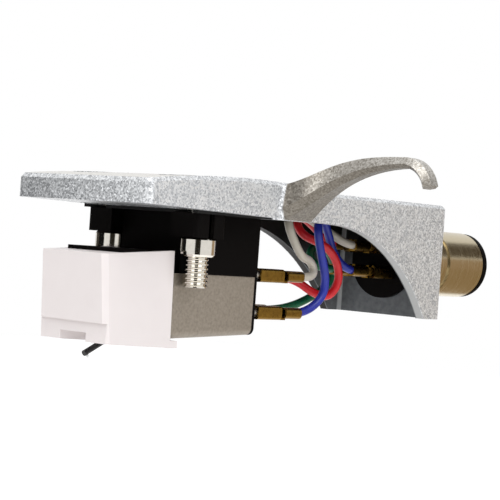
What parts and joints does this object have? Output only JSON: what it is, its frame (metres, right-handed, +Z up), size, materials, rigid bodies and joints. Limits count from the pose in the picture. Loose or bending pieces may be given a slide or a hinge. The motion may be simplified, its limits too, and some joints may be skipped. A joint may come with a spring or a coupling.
{
  "type": "headshell with phono cartridge and stylus",
  "caption": "Cast tonearm headshell with a finger lift and bayonet plug, carrying a wired moving-magnet phono cartridge with a pull-off stylus.",
  "frame": {"origin": "on the plug's axis, where its plain seat starts, 6.5 mm behind the headshell's rear face", "axes": "+X rearwards along the plug into the tonearm, -X towards the stylus, +Z up, -Y the finger lift's side"},
  "size_m": [0.066, 0.0352, 0.0225],
  "materials": {
    "shell_paint": "sparkle silver paint on a die casting",
    "plug_nickel": "nickel plated, turned",
    "insulator_black": "moulded",
    "contact_gold": "gold plated",
    "fastener_nickel": "nickel plated, polished",
    "body_black": "satin moulding",
    "can_grey": "satin shield sheet",
    "terminal_tin": "tin plated",
    "holder_white": "soft gloss moulding",
    "damper_rubber": "soft",
    "cantilever_black": "carbon filled",
    "jewel": "polished point",
    "magnet_grey": "sintered",
    "clip_gold": "gold plated sheet",
    "wire_white": "flexible insulation",
    "wire_red": "flexible insulation",
    "wire_green": "flexible insulation",
    "wire_blue": "flexible insulation"
  },
  "bodies": {
    "shell_and_cartridge": {"headshell": "shell_paint", "connector_sleeve": "plug_nickel", "bayonet_pin": "plug_nickel", "terminal_block": "insulator_black", "contact_pins": "contact_gold", "mounting_screws": "fastener_nickel", "mounting_nuts": "fastener_nickel", "cartridge_body": "body_black", "shield_can": "can_grey", "end_plate": "body_black", "terminal_pins": "terminal_tin", "cartridge_clips": "clip_gold", "plug_clips": "clip_gold", "lead_white": "wire_white", "lead_blue": "wire_blue", "lead_red": "wire_red", "lead_green": "wire_green"},
    "stylus_unit": {"stylus_holder": "holder_white"},
    "stylus_pivot": {"damper": "damper_rubber"},
    "stylus": {"cantilever": "cantilever_black", "stylus_jewel": "jewel", "stylus_magnets": "magnet_grey"}
  },
  "joints": [
    {"name": "stylus_pull", "type": "slide", "parent": "shell_and_cartridge", "child": "stylus_unit", "axis": [-1, 0, 0], "range_m": [0, 0.012]},
    {"name": "stylus_lateral", "type": "hinge", "parent": "stylus_unit", "child": "stylus_pivot", "pos_m": [-0.05009, 0, -0.00887], "axis": [0, 0, 1], "range_deg": [-3, 3], "stiffness_Nm_per_rad": 0.0075},
    {"name": "stylus_vertical", "type": "hinge", "parent": "stylus_pivot", "child": "stylus", "pos_m": [-0.05009, 0, -0.00887], "axis": [0, 1, 0], "range_deg": [-3, 3], "stiffness_Nm_per_rad": 0.0075}
  ]
}
